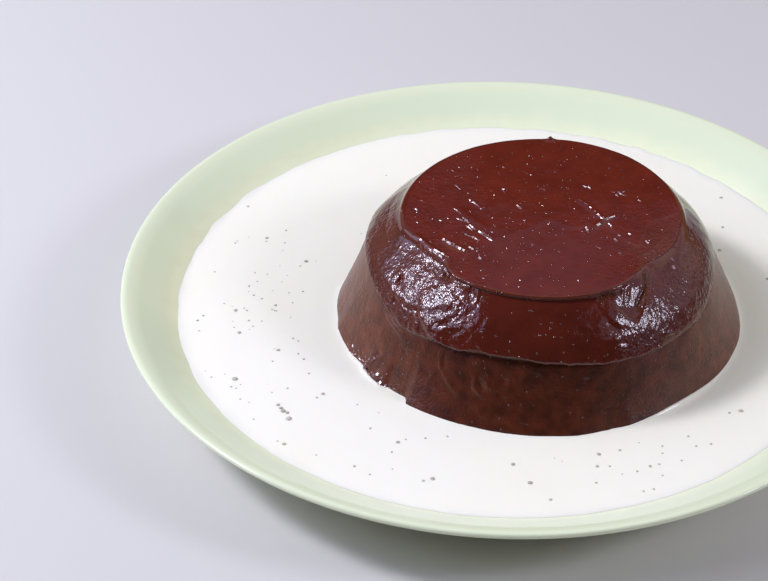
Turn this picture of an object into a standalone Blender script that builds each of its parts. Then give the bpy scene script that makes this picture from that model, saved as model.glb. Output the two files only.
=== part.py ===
"""Chocolate marquise standing in a pool of custard sauce on its rimmed plate.

Run with: blender --background --python part.py

Three pieces make the dessert. The plate is a turned ceramic dish with a foot ring, a flat well and a
sloping rim that levels off at its lip. The sauce is poured into the well around the marquise. The
marquise is one moulded piece in three tiers: a flaring lower tier, a domed middle tier whose edge
hangs over it like a lip, and a smoothed disc on top.

Lengths are in metres, +Z is up, and the origin is the centre of the foot ring on the table.
"""

import math

import bmesh
import bpy

MM = 0.001
CLEARANCE = 0.3 * MM  # between touching pieces
SEGMENTS = 72  # round every turned piece

# Plate
PLATE_RADIUS = 135 * MM
WALL = 4.2 * MM
FOOT_HEIGHT = 3.4 * MM
FOOT_RADIUS = 79 * MM
FOOT_WIDTH = 6 * MM
WELL_HEIGHT = FOOT_HEIGHT + WALL + 0.4 * MM  # upper face of the flat well
RIM_SLOPE = math.radians(33)
WELL_BEND = 44 * MM  # radius of the curve from the flat well to the rim
RIM_START = 115 * MM  # radius at which that curve reaches the rim's slope
RIM_END = 128 * MM  # radius at which the slope starts to level off
LIP_SLOPE = math.radians(16)
LIP_BEND = 19.7 * MM
LIP_ROUND = 1.7 * MM

# Sauce
SAUCE_LEVEL = WELL_HEIGHT + 7.5 * MM
SAUCE_RADIUS = 113.6 * MM
SAUCE_EDGE_WAVE = 0.5 * MM

# Marquise
MARQUISE_PLACE = (12.0 * MM, -4.3 * MM)  # it was turned out a little off the plate's centre
FOOT = WELL_HEIGHT + CLEARANCE
BASE_RADIUS = 71.5 * MM
LIP_RADIUS = 62.4 * MM
DISC_RADIUS = 48.4 * MM
LIP_HEIGHT = 21.0 * MM  # above the sauce
STEP_HEIGHT = 37.2 * MM  # foot of the top disc, above the sauce
DISC_HEIGHT = 39.3 * MM  # above the sauce
LIP_OVERHANG = 1.6 * MM


def arc(centre, radius, start, end, steps):
    """Points (radius, height) on an arc in the profile's plane, between two angles in radians."""
    angles = [start + (end - start) * i / steps for i in range(steps + 1)]
    return [(centre[0] + radius * math.cos(a), centre[1] + radius * math.sin(a)) for a in angles]


def well_to_rim(steps):
    """The curve from the flat well up to the sloping rim."""
    start = RIM_START - WELL_BEND * math.sin(RIM_SLOPE)
    centre = (start, WELL_HEIGHT + WELL_BEND)
    return arc(centre, WELL_BEND, -math.pi / 2, -math.pi / 2 + RIM_SLOPE, steps)


def rim_to_lip(steps):
    """The curve where the rim's slope levels off towards the lip."""
    end_height = well_to_rim(1)[-1][1] + (RIM_END - RIM_START) * math.tan(RIM_SLOPE)
    centre = (RIM_END + LIP_BEND * math.sin(RIM_SLOPE), end_height - LIP_BEND * math.cos(RIM_SLOPE))
    return arc(centre, LIP_BEND, math.pi / 2 + RIM_SLOPE, math.pi / 2 + LIP_SLOPE, steps)


def upper_face(steps=8):
    """The plate's upper face from its axis to the start of the rounded lip."""
    return [(0.0, WELL_HEIGHT), (45 * MM, WELL_HEIGHT)] + well_to_rim(steps) + rim_to_lip(steps // 2)


def height_on_plate(radius):
    """Height of the plate's upper face at a radius."""
    face = upper_face()
    for (r0, z0), (r1, z1) in zip(face, face[1:]):
        if r0 <= radius <= r1:
            return z0 + (z1 - z0) * (radius - r0) / (r1 - r0)
    return face[-1][1]


def plate_profile():
    """Upper face, rounded lip, underside and foot ring, from axis to axis."""
    face = upper_face()
    tip_radius, tip_height = face[-1]
    lip = arc(
        (PLATE_RADIUS - LIP_ROUND, tip_height - LIP_ROUND),
        LIP_ROUND,
        math.pi / 2,
        -math.pi / 2,
        6,
    )
    drop = WALL / math.cos(RIM_SLOPE)
    under = [
        (RIM_END - 1 * MM, height_on_plate(RIM_END - 1 * MM) - drop * 0.86),
        (RIM_START, height_on_plate(RIM_START) - drop),
        (100 * MM, height_on_plate(100 * MM) - WALL * 1.08),
        (FOOT_RADIUS + 6 * MM, FOOT_HEIGHT + 0.3 * MM),
    ]
    foot = [
        (FOOT_RADIUS + 1.2 * MM, FOOT_HEIGHT - 1.6 * MM),
        (FOOT_RADIUS, 0.0),
        (FOOT_RADIUS - FOOT_WIDTH, 0.0),
        (FOOT_RADIUS - FOOT_WIDTH - 1 * MM, FOOT_HEIGHT - 1 * MM),
        (FOOT_RADIUS - FOOT_WIDTH - 3 * MM, FOOT_HEIGHT),
        (0.0, FOOT_HEIGHT),
    ]
    return face + lip + under + foot


def bump(angle, centre_deg, width_deg):
    """A smooth swell round the axis, 1 at its centre and near 0 a width or two away."""
    away = (angle - math.radians(centre_deg) + math.pi) % (2 * math.pi) - math.pi
    return math.exp(-((away / math.radians(width_deg)) ** 2))


def lip_lift(angle):
    """How far the middle tier's edge rises above its lowest run, which is at the front."""
    return (
        3.2 * MM * bump(angle, 222, 28)
        + 1.2 * MM * bump(angle, 180, 30)
        + 0.6 * MM * bump(angle, 330, 30)
        + 1.0 * MM * bump(angle, 90, 60)
    )


def lip_hang(angle):
    """Share of the full overhang: strong at the front, nearly gone at the sides."""
    return 0.25 + 0.75 * bump(angle, 268, 38)


def lip_swell(angle):
    """The middle tier is pulled in a little at the right and stands full elsewhere."""
    return -1.6 * MM * bump(angle, 5, 45)


def base_swell(angle):
    """The uneven foot: a pinched run at the front left that ends in a nick, and a flat at the right."""
    return (
        -0.9 * MM * bump(angle, 214, 12)
        + 1.0 * MM * bump(angle, 234, 7)
        - 1.0 * MM * bump(angle, 318, 14)
        + 0.4 * MM * math.sin(3 * angle)
    )


def marquise_profile(grow=0.0):
    """Rows of (radius, height above the foot, share of the lip's lift and swell, share of the base's).

    grow widens the piece all round, for the cutter that opens the sauce.
    """
    sauce = SAUCE_LEVEL - FOOT
    rows = [
        (BASE_RADIUS - 1.0 * MM, 0.0, 0, 1),
        (BASE_RADIUS, 1.2 * MM, 0, 1),
        (BASE_RADIUS, sauce, 0, 1),
        (BASE_RADIUS - 0.2 * MM, sauce + 3.5 * MM, 0, 0.7),
        (BASE_RADIUS - 1.6 * MM, sauce + 8.5 * MM, 0.15, 0.4),
        (BASE_RADIUS - 4.4 * MM, sauce + 13.5 * MM, 0.45, 0.1),
        (LIP_RADIUS + 1.6 * MM, sauce + 18.0 * MM, 0.9, 0),
        (LIP_RADIUS - 0.2 * MM, sauce + LIP_HEIGHT - 0.4 * MM, 1, 0),  # under the lip
        (LIP_RADIUS + 0.2 * MM, sauce + LIP_HEIGHT, 1, 0),  # the lip's lower edge
        (LIP_RADIUS + 0.1 * MM, sauce + LIP_HEIGHT + 1.2 * MM, 1, 0),
        (LIP_RADIUS - 0.8 * MM, sauce + 23.9 * MM, 0.85, 0),
        (LIP_RADIUS - 2.6 * MM, sauce + 26.8 * MM, 0.6, 0),
        (LIP_RADIUS - 5.0 * MM, sauce + 29.7 * MM, 0.4, 0),
        (LIP_RADIUS - 8.0 * MM, sauce + 32.8 * MM, 0.2, 0),
        (LIP_RADIUS - 11.4 * MM, sauce + 35.6 * MM, 0.1, 0),
        (DISC_RADIUS + 0.3 * MM, sauce + STEP_HEIGHT, 0, 0),
        (DISC_RADIUS + 0.1 * MM, sauce + DISC_HEIGHT - 0.5 * MM, 0, 0),
        (DISC_RADIUS - 0.6 * MM, sauce + DISC_HEIGHT, 0, 0),
        (DISC_RADIUS * 0.7, sauce + DISC_HEIGHT - 0.2 * MM, 0, 0),
        (DISC_RADIUS * 0.35, sauce + DISC_HEIGHT - 0.3 * MM, 0, 0),
    ]
    return [(r + grow, z, lift, swell) for r, z, lift, swell in rows]


def shaped_radius(radius, height, angle, lift, swell):
    """Radius after both swells and the pull-back of the wall under the overhanging lip."""
    under_lip = SAUCE_LEVEL - FOOT + LIP_HEIGHT - 0.4 * MM
    below = (under_lip - height) / (9 * MM)
    pull = max(0.0, 1 - below) if 0 <= below else 0.0
    uneven = lift * lip_swell(angle) + swell * base_swell(angle)
    return radius + uneven - LIP_OVERHANG * lip_hang(angle) * pull


def new_object(name, bm, colour, roughness, smooth_angle=40):
    """Makes the mesh an object with its own Principled material."""
    bmesh.ops.recalc_face_normals(bm, faces=bm.faces)
    mesh = bpy.data.meshes.new(name)
    bm.to_mesh(mesh)
    bm.free()
    mesh.shade_smooth()
    mesh.set_sharp_from_angle(angle=math.radians(smooth_angle))
    material = bpy.data.materials.new(name)
    material.use_nodes = True
    shader = material.node_tree.nodes["Principled BSDF"]
    shader.inputs["Base Color"].default_value = (*colour, 1)
    shader.inputs["Roughness"].default_value = roughness
    shader.inputs["Metallic"].default_value = 0
    mesh.materials.append(material)
    obj = bpy.data.objects.new(name, mesh)
    bpy.context.scene.collection.objects.link(obj)
    return obj


def turned(profile):
    """A closed body turned round the Z axis from a profile whose ends are on that axis."""
    bm = bmesh.new()
    points = [bm.verts.new((r, 0, z)) for r, z in profile]
    edges = [bm.edges.new(pair) for pair in zip(points, points[1:])]
    bmesh.ops.spin(
        bm,
        geom=points + edges,
        cent=(0, 0, 0),
        axis=(0, 0, 1),
        dvec=(0, 0, 0),
        angle=2 * math.pi,
        steps=SEGMENTS,
        use_merge=True,
    )
    bmesh.ops.remove_doubles(bm, verts=bm.verts, dist=0.00001)
    return bm


def make_plate():
    return new_object("plate", turned(plate_profile()), (0.64, 0.73, 0.58), 0.25)


def marquise_mesh(grow=0.0):
    """The marquise, turned and then pushed out of round, with its foot on the plate's well."""
    rows = marquise_profile(grow)
    top = rows[-1][1]
    profile = [(0.0, 0.0)] + [(r, z) for r, z, _, _ in rows] + [(0.0, top)]
    bm = turned(profile)
    shares = {round(z, 7): (lift, swell) for _, z, lift, swell in rows}
    for vert in bm.verts:
        radius = math.hypot(vert.co.x, vert.co.y)
        if radius < 1 * MM:
            continue
        angle = math.atan2(vert.co.y, vert.co.x)
        lift, swell = shares[round(vert.co.z, 7)]
        scale = shaped_radius(radius, vert.co.z, angle, lift, swell) / radius
        vert.co.x *= scale
        vert.co.y *= scale
        vert.co.z += lift * lip_lift(angle)
    bmesh.ops.translate(bm, verts=bm.verts, vec=(*MARQUISE_PLACE, FOOT))
    return bm


def make_marquise():
    return new_object("marquise", marquise_mesh(), (0.11, 0.028, 0.016), 0.3, 30)


def sauce_wave(angle):
    """The sauce's uneven shoreline on the plate."""
    return SAUCE_EDGE_WAVE * (
        0.5 * math.sin(5 * angle + 0.4) + 0.3 * math.sin(11 * angle) + 0.2 * math.sin(17 * angle + 1)
    )


def make_sauce():
    """A pool with a level top whose underside follows the plate, opened round the marquise."""
    floor = [(0.0, WELL_HEIGHT + CLEARANCE)]
    under_radii = [88 * MM, 95 * MM, 102 * MM, 108 * MM, SAUCE_RADIUS]
    floor += [(r, height_on_plate(r) + CLEARANCE) for r in under_radii]
    top = [
        (SAUCE_RADIUS, SAUCE_LEVEL - 0.25 * MM),
        (SAUCE_RADIUS - 1.2 * MM, SAUCE_LEVEL),
        (96 * MM, SAUCE_LEVEL),
        (0.0, SAUCE_LEVEL),
    ]
    bm = turned(floor + top)
    for vert in bm.verts:
        radius = math.hypot(vert.co.x, vert.co.y)
        share = max(0.0, (radius - 96 * MM) / (SAUCE_RADIUS - 96 * MM))
        if share == 0:
            continue
        moved = radius + share * sauce_wave(math.atan2(vert.co.y, vert.co.x))
        on_plate = abs(vert.co.z - height_on_plate(radius) - CLEARANCE) < 0.01 * MM
        vert.co.x *= moved / radius
        vert.co.y *= moved / radius
        if on_plate:
            vert.co.z = height_on_plate(moved) + CLEARANCE
    sauce = new_object("custard_sauce", bm, (0.90, 0.88, 0.83), 0.3)
    cutter = new_object("marquise_hole_cutter", marquise_mesh(CLEARANCE), (0.5, 0.5, 0.5), 0.5)
    cutter.location.z = -1 * MM  # runs past the sauce's underside
    cutter.hide_render = True
    cutter.display_type = "WIRE"
    cut = sauce.modifiers.new("round the marquise", "BOOLEAN")
    cut.operation = "DIFFERENCE"
    cut.object = cutter
    return sauce


def main():
    for obj in list(bpy.data.objects):
        bpy.data.objects.remove(obj)
    make_plate()
    make_sauce()
    make_marquise()


main()
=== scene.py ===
# %% [markdown]
# # A chocolate marquise in a pool of custard
#
# A marquise is a rich chocolate cream that is set in a mould and turned out onto a plate. This lesson models
# one in three pieces, a glazed plate, a pool of pouring custard and the marquise itself, and gives each the
# surface that its maker left on it. Lengths are in millimetres times MM, +Z is up, and the origin is the
# centre of the plate's foot ring on the table.

# %% Load the measured frame
import math
import random

import bmesh
import bpy
import numpy as np
from mathutils import Matrix, Vector, noise


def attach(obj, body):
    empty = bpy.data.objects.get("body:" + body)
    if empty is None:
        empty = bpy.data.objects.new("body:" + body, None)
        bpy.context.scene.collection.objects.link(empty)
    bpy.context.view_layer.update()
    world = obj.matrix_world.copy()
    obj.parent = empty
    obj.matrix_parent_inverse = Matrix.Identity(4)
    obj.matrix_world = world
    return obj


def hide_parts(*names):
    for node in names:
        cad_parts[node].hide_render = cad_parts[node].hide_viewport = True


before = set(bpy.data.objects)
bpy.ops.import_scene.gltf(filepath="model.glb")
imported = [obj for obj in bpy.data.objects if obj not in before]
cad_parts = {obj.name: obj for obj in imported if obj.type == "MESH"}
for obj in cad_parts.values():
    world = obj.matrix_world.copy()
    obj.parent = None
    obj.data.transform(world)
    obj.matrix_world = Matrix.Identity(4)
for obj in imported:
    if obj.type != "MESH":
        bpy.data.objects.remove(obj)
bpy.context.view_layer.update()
print("frame nodes:", sorted(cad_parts))

# %% [markdown]
# ## The sizes everything shares
#
# The plate is a 27 cm dinner plate. The custard is the level that the other heights are counted from, as it is
# the one flat surface in the dish. The marquise was turned out a little off the plate's centre.

# %% Sizes
MM = 0.001
PLATE_RADIUS = 135 * MM
WELL_HEIGHT = 8.0 * MM  # the flat floor of the plate
CUSTARD_LEVEL = 15.5 * MM
SHORE_RADIUS = 115.6 * MM  # where the custard meets the rim
PLACE = Vector((12.0 * MM, -4.3 * MM, CUSTARD_LEVEL))  # centre of the marquise at the custard's level
print("custard depth in the well:", round((CUSTARD_LEVEL - WELL_HEIGHT) / MM, 1), "mm")

# %% [markdown]
# ## The camera
#
# A long lens from three quarters of a metre, looking 36 degrees down, keeps the plate's ellipse calm and shows
# the top and the front of the marquise alike. The plate runs out of the frame on the right.

# %% Camera
PITCH = math.radians(36.07)
CAMERA_DISTANCE = 752 * MM
LENS = 98.44  # mm, on a 36 mm wide sensor
AIM = Vector((-42.5 * MM, 4.9 * MM, CUSTARD_LEVEL))

forward = Vector((0, math.cos(PITCH), -math.sin(PITCH)))
camera_data = bpy.data.cameras.new("camera")
camera_data.sensor_width = 36
camera_data.lens = LENS
camera_data.clip_start = 0.01
camera = bpy.data.objects.new("camera", camera_data)
camera.location = AIM - CAMERA_DISTANCE * forward
camera.rotation_mode = "QUATERNION"
camera.rotation_quaternion = forward.to_track_quat("-Z", "Y")
bpy.context.collection.objects.link(camera)
bpy.context.scene.camera = camera
bpy.context.scene.view_settings.view_transform = "Standard"
print("camera at", [round(v, 3) for v in camera.location])

# %% [markdown]
# ## Colours and nodes
#
# Colours are written as the hex values that a screen shows, and one function turns them into the linear light
# that the renderer counts in. A second one fills a node's sockets with values or links, and a third adds any
# node with its settings, so a material reads from its pattern down to its shader. Most of these surfaces are
# mottled, two shades of one colour mixed by noise, so that pair of nodes is a function too.

# %% Colour and node helpers
def linear(hex_colour):
    """An sRGB hex colour such as #5D2718 as linear red, green, blue and alpha."""
    channels = [int(hex_colour[i:i + 2], 16) / 255 for i in (1, 3, 5)]
    return [c / 12.92 if c <= 0.04045 else ((c + 0.055) / 1.055) ** 2.4 for c in channels] + [1.0]


def fill(tree, node, **inputs):
    """Fills or links a node's sockets, given by name or as in_0, in_1. A node as a value stands for its result."""
    for name, value in inputs.items():
        socket = node.inputs[int(name[3:])] if name.startswith("in_") else node.inputs[name.replace("_", " ")]
        if isinstance(value, bpy.types.Node):
            value = value.outputs[2 if value.bl_idname == "ShaderNodeMix" else 0]  # a mix's colour comes third
        if isinstance(value, bpy.types.NodeSocket):
            tree.links.new(value, socket)
        else:
            socket.default_value = value


def add_node(tree, kind, settings=(), **inputs):
    """Adds a shader node, sets its properties and fills its sockets."""
    node = tree.nodes.new("ShaderNode" + kind)
    for name, value in dict(settings).items():
        setattr(node, name, value)
    fill(tree, node, **inputs)
    return node


def new_material(name):
    """An empty material with its shader and output, ready for its pattern."""
    material = bpy.data.materials.new(name)
    material.use_nodes = True
    return material, material.node_tree, material.node_tree.nodes["Principled BSDF"]


def mottled(tree, place, size, detail, first, second):
    """Two colours mixed by noise whose hills are about this size."""
    hills = add_node(tree, "TexNoise", Vector=place, Scale=1 / size, Detail=detail)
    return add_node(tree, "Mix", COLOURS, Factor=hills, in_6=linear(first), in_7=linear(second))


SMOOTH_STEP = {"interpolation_type": "SMOOTHSTEP"}  # a range that eases in and out
COLOURS = {"data_type": "RGBA"}  # a mix of two colours, in_6 and in_7
print("chocolate brown in linear light:", [round(v, 3) for v in linear("#5D2718")])

# %% [markdown]
# ## Making a mesh into a piece
#
# Every piece ends the same way: the mesh becomes an object at the origin, shaded smooth, that rides on the
# dessert's one body and stands for its measured solid. Turned shapes start as a profile of points that the
# spin operator sweeps round the axis, which is how a potter's wheel and a round mould make them.

# %% Piece helpers
def finish_piece(bm, name, material, node=None):
    """Makes the mesh an object with its material, riding on the dessert and replacing its measured solid."""
    bmesh.ops.recalc_face_normals(bm, faces=bm.faces)
    mesh = bpy.data.meshes.new(name)
    bm.to_mesh(mesh)
    bm.free()
    mesh.shade_smooth()
    mesh.materials.append(material)
    piece = bpy.data.objects.new(name, mesh)
    bpy.context.collection.objects.link(piece)
    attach(piece, "root")
    if node:
        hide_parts(node)
    triangles = sum(len(face.vertices) - 2 for face in mesh.polygons)
    print(f"{name}: {triangles} triangles")
    return piece


def spin_profile(bm, profile, steps, row_layer=None, closed=False):
    """Sweeps (radius, height) points round the Z axis. row_layer keeps each point's place in the profile."""
    points = []
    for row, (radius, height) in enumerate(profile):
        point = bm.verts.new((radius, 0, height))
        if row_layer:
            point[row_layer] = row
        points.append(point)
    edges = [bm.edges.new(pair) for pair in zip(points, points[1:] + (points[:1] if closed else []))]
    bmesh.ops.spin(bm, geom=points + edges, cent=(0, 0, 0), axis=(0, 0, 1), dvec=(0, 0, 0),
                   angle=2 * math.pi, steps=steps, use_merge=True)
    bmesh.ops.remove_doubles(bm, verts=bm.verts, dist=0.002 * MM)


def arc(centre, radius, start, end, steps):
    """Points on an arc in the profile's plane, between two angles in degrees."""
    angles = [math.radians(start + (end - start) * i / steps) for i in range(steps + 1)]
    return [(centre[0] + radius * math.cos(a), centre[1] + radius * math.sin(a)) for a in angles]


print("steps of a full turn at 0.55 mm on a 62 mm radius:", round(2 * math.pi * 62 / 0.55))

# %% [markdown]
# ## The plate
#
# The plate is thrown stoneware: a flat well, one long curve up into a sloping rim, and a lip that levels off.
# Its profile is those arcs one after another, down the back and in to the foot ring, and one spin turns it.
# The foot ring stands on the table, so its lowest face is bare clay; glaze there would stick to the kiln shelf.

# %% Plate shape
RIM_SLOPE = 33  # degrees
WELL_BEND = 44 * MM
RIM_START = 115 * MM  # radius where the curve reaches the rim's slope
RIM_END = 128 * MM  # radius where the slope starts to level off
LIP_SLOPE = 16  # degrees
LIP_BEND = 19.7 * MM
LIP_ROUND = 1.0 * MM
WALL = 4.2 * MM
FOOT_RADIUS, FOOT_WIDTH, FOOT_HEIGHT = 79 * MM, 6 * MM, 3.4 * MM


def plate_face():
    """The upper face from the axis to the start of the rounded lip."""
    slope = math.radians(RIM_SLOPE)
    bend = arc((RIM_START - WELL_BEND * math.sin(slope), WELL_HEIGHT + WELL_BEND), WELL_BEND, -90,
               RIM_SLOPE - 90, 20)
    rim_top = bend[-1][1] + (RIM_END - RIM_START) * math.tan(slope)
    lip = arc((RIM_END + LIP_BEND * math.sin(slope), rim_top - LIP_BEND * math.cos(slope)), LIP_BEND,
              90 + RIM_SLOPE, 90 + LIP_SLOPE, 8)
    return [(0, WELL_HEIGHT), (45 * MM, WELL_HEIGHT), (80 * MM, WELL_HEIGHT)] + bend + lip


PLATE_FACE = plate_face()


def plate_height(radius):
    """Height of the plate's upper face at one radius or an array of them."""
    radii, heights = zip(*PLATE_FACE)
    return np.interp(radius, radii, heights)


tip_height = PLATE_FACE[-1][1]
rounded_lip = arc((PLATE_RADIUS - LIP_ROUND, tip_height - LIP_ROUND), LIP_ROUND, 90, -90, 14)
# radius in mm, and how thick the plate is there as a share of WALL
BACK = [(129, 0.98), (124, 1.15), (118, 1.2), (110, 1.16), (102, 1.1), (95, 1.06)]
back = [(r * MM, float(plate_height(r * MM)) - WALL * thick) for r, thick in BACK]
foot_ring = [
    (FOOT_RADIUS + 6 * MM, FOOT_HEIGHT + 0.3 * MM),
    (FOOT_RADIUS + 2.4 * MM, FOOT_HEIGHT - 0.6 * MM),
    (FOOT_RADIUS + 0.9 * MM, 1.2 * MM),
    (FOOT_RADIUS - 0.2 * MM, 0.25 * MM),
    (FOOT_RADIUS - 0.9 * MM, 0),
    (FOOT_RADIUS - FOOT_WIDTH + 0.9 * MM, 0),
    (FOOT_RADIUS - FOOT_WIDTH + 0.2 * MM, 0.25 * MM),
    (FOOT_RADIUS - FOOT_WIDTH - 0.8 * MM, 1.6 * MM),
    (FOOT_RADIUS - FOOT_WIDTH - 3 * MM, FOOT_HEIGHT - 0.3 * MM),
    (FOOT_RADIUS - FOOT_WIDTH - 6 * MM, FOOT_HEIGHT),
    (35 * MM, FOOT_HEIGHT),
    (0, FOOT_HEIGHT),
]
plate_mesh = bmesh.new()
spin_profile(plate_mesh, PLATE_FACE + rounded_lip[1:] + back + foot_ring, 288)
print("plate lip top:", round(tip_height / MM, 1), "mm, rim at the custard's level:",
      round(float(np.interp(CUSTARD_LEVEL, *reversed(list(zip(*PLATE_FACE))))) / MM, 1), "mm")

# %% [markdown]
# ## Celadon-green glaze
#
# The plate is stoneware dipped in an opaque pale green glaze and fired glossy. Such a glaze is thinner and so
# paler where it runs off the lip, drifts a little in tone over centimetres, and has a faint orange-peel skin.
# A thin film of custard has drawn back from the shore, mostly on the left, and tints the glaze yellow there, and
# in the last millimetres before the shore the film is thick enough to whiten it, with a ragged edge.
# All of it follows the radius, so the pattern is worked out from the object's own coordinates.

# %% Glaze material
glaze, tree, shader = new_material("celadon_green_glaze")
place = add_node(tree, "TexCoord").outputs["Object"]
split = add_node(tree, "SeparateXYZ", in_0=place)
flat = add_node(tree, "CombineXYZ", X=split.outputs["X"], Y=split.outputs["Y"])
radius = add_node(tree, "VectorMath", {"operation": "LENGTH"}, in_0=flat)
tone = mottled(tree, place, 55 * MM, 3.0, "#E9F1CE", "#E0EECA")
lip_fade = add_node(tree, "MapRange", SMOOTH_STEP, Value=radius.outputs["Value"],
                    From_Min=128.6 * MM, From_Max=130.6 * MM)
thin = add_node(tree, "Mix", COLOURS, Factor=lip_fade, in_6=tone, in_7=linear("#E5EDC9"))
shore = add_node(tree, "MapRange", SMOOTH_STEP, Value=radius.outputs["Value"],
                 From_Min=123 * MM, From_Max=116.5 * MM, To_Max=0.75)
leftward = add_node(tree, "MapRange", SMOOTH_STEP, Value=split.outputs["X"],
                    From_Min=20 * MM, From_Max=-90 * MM, To_Min=0.1)
film = add_node(tree, "Math", {"operation": "MULTIPLY"}, in_0=shore, in_1=leftward)
stain = add_node(tree, "Mix", COLOURS, Factor=film, in_6=thin, in_7=linear("#E6E6B8"))
peel = add_node(tree, "TexNoise", Vector=place, Scale=1 / (9 * MM), Detail=1.0)
skin = add_node(tree, "Bump", Strength=0.25, Distance=0.15 * MM, Height=peel)
ragged = add_node(tree, "TexNoise", Vector=place, Scale=1 / (8 * MM), Detail=3.0)
edge = add_node(tree, "Math", {"operation": "MULTIPLY_ADD"}, in_0=ragged, in_1=6 * MM, in_2=radius.outputs["Value"])
haze = add_node(tree, "MapRange", SMOOTH_STEP, Value=edge,
                From_Min=SHORE_RADIUS + 10.5 * MM, From_Max=SHORE_RADIUS + 2.6 * MM, To_Max=0.95)
coated = add_node(tree, "Mix", COLOURS, Factor=haze, in_6=stain, in_7=linear("#F1F8D2"))
fill(tree, shader, Base_Color=coated, Normal=skin, Roughness=0.16, IOR=1.5)
plate = finish_piece(plate_mesh, "plate_body", glaze, "plate")

# %% [markdown]
# ## Bare clay on the foot
#
# The potter wipes the foot ring clean before firing. The faces that touch the table take a second material,
# a matte buff clay with the fine grog showing as darker grains.

# %% Foot material
clay, tree, shader = new_material("bare_buff_stoneware")
place = add_node(tree, "TexCoord").outputs["Object"]
grain = mottled(tree, place, 0.8 * MM, 4.0, "#CDBB9C", "#A8916E")
fill(tree, shader, Base_Color=grain, Roughness=0.85)
plate.data.materials.append(clay)
WIPED = 0.8 * MM  # height up to which the foot is wiped
bare = 0
for face in plate.data.polygons:
    if face.center.z < WIPED:
        face.material_index = 1
        bare += 1
print("bare clay faces:", bare)

# %% [markdown]
# ## The marquise's two profiles
#
# The marquise is one moulded piece in three tiers: a matte flaring foot, a glossy domed tier whose lower edge
# hangs over the foot like a lip, and a disc on top that a palette knife smoothed. At the front the disc stands
# proud of the dome with a shadow line under it, and at the right and the back it fades into the dome. So the
# side needs two profiles with the same rows, one stepped and one smooth, and the shape at any angle is a
# mixture of the two. A Catmull-Rom curve runs through the rows, since it passes through every named point.

# %% Marquise profiles
# (radius, height above the custard) in mm, from the disc's rim down to the hidden bottom edge
STEPPED = [
    (47.2, 39.3), (47.9, 39.2), (48.3, 38.9), (48.2, 38.3), (47.7, 37.7),  # disc rim and the groove under it
    (48.4, 37.1), (50.4, 35.8), (53.2, 33.5), (56.2, 30.6), (58.8, 27.6), (60.7, 24.9),  # the dome
    (61.9, 22.7), (62.3, 21.5), (62.0, 20.9), (61.2, 20.7), (60.6, 20.0),  # the lip and its underside
    (61.6, 18.3), (63.3, 15.0), (65.3, 11.0), (67.4, 7.2), (69.6, 3.4), (71.3, 0.4),  # the flaring foot
    (71.8, -1.6), (71.6, -6.6), (70.9, -7.1),  # under the custard
]
SMOOTH = [
    (47.0, 39.3), (47.9, 39.15), (48.6, 38.75), (49.1, 38.2), (49.5, 37.6),
    (50.1, 36.9), (51.7, 35.3), (54.1, 33.0), (56.6, 30.2), (58.9, 27.3), (60.7, 24.6),
    (62.0, 22.4), (62.5, 21.3), (62.65, 20.7), (62.55, 20.3), (62.7, 19.6),
    (63.3, 17.9), (64.6, 14.8), (66.2, 11.0), (67.9, 7.2), (69.7, 3.4), (71.3, 0.4),
    (71.8, -1.6), (71.6, -6.6), (70.9, -7.1),
]
LIP_ROW, WATER_ROW, LAST_ROW = 13, 21, len(STEPPED) - 1
DISC_EDGE_END = 6  # the row where the disc's rim and groove have passed into the dome


def along(profile, rows):
    """Radius and height in metres at fractional rows, on a Catmull-Rom curve through the profile."""
    keys = np.array([profile[0]] + list(profile) + [profile[-1]]) * MM
    low = np.clip(np.floor(rows).astype(int), 0, len(profile) - 2)
    part = (rows - low)[:, None]
    a, b, c, d = (keys[low + i] for i in range(4))
    curve = b + 0.5 * part * (c - a + part * (2 * a - 5 * b + 4 * c - d + part * (3 * (b - c) + d - a)))
    return curve[:, 0], curve[:, 1]


def even_rows(fine, coarse):
    """Rows spaced evenly along the side, finer round the disc's rim and the lip, coarse below the custard."""
    dense = np.linspace(0, LAST_ROW, 4000)
    r, z = along(STEPPED, dense)
    length = np.hypot(np.diff(r), np.diff(z))
    middle = (dense[1:] + dense[:-1]) / 2
    near_edge = (middle < DISC_EDGE_END) | (abs(middle - LIP_ROW - 0.5) < 3)
    spacing = np.where(middle > WATER_ROW + 0.6, 8 * coarse, np.where(near_edge, fine, coarse))
    count = np.concatenate([[0], np.cumsum(length / spacing)])
    return np.interp(np.arange(int(count[-1]) + 1) * count[-1] / int(count[-1]), count, dense)


side_rows = even_rows(0.37 * MM, 0.68 * MM)
print("rows down the side:", len(side_rows))

# %% [markdown]
# ## One mesh for the disc and the side
#
# A disc made by spinning crowds its points at the pole. Here the top is a square grid instead, with each point
# moved so that the square's outline falls on a circle, evenly spaced. A grid with 176 cells a side has 704
# points on its outline, so a side spun in 704 steps meets it point for point and merges with it.

# %% Marquise mesh
GRID = 176
SIDE_STEPS = 4 * GRID

skin_mesh = bmesh.new()
row_of = skin_mesh.verts.layers.float.new("row")
bmesh.ops.create_grid(skin_mesh, x_segments=GRID, y_segments=GRID, size=1)
rim_radius, rim_height = (float(v[0]) for v in along(STEPPED, np.zeros(1)))
for vert in skin_mesh.verts:
    u, v = (math.sqrt(2) * math.sin(c * math.pi / 4) for c in vert.co.xy)
    round_x, round_y = u * math.sqrt(1 - v * v / 2), v * math.sqrt(1 - u * u / 2)
    vert.co = (round_x * rim_radius, round_y * rim_radius, rim_height)
    vert[row_of] = -1.0
spun_radius, spun_height = along(STEPPED, side_rows)
spun = bmesh.new()
spun_row = spun.verts.layers.float.new("row")
profile = list(zip(spun_radius.tolist(), spun_height.tolist()))
spin_profile(spun, profile, SIDE_STEPS, spun_row)
for vert in spun.verts:
    vert[spun_row] = float(np.interp(vert[spun_row], np.arange(len(side_rows)), side_rows))
joined = bpy.data.meshes.new("side")
spun.to_mesh(joined)
spun.free()
skin_mesh.from_mesh(joined)
bpy.data.meshes.remove(joined)
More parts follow.
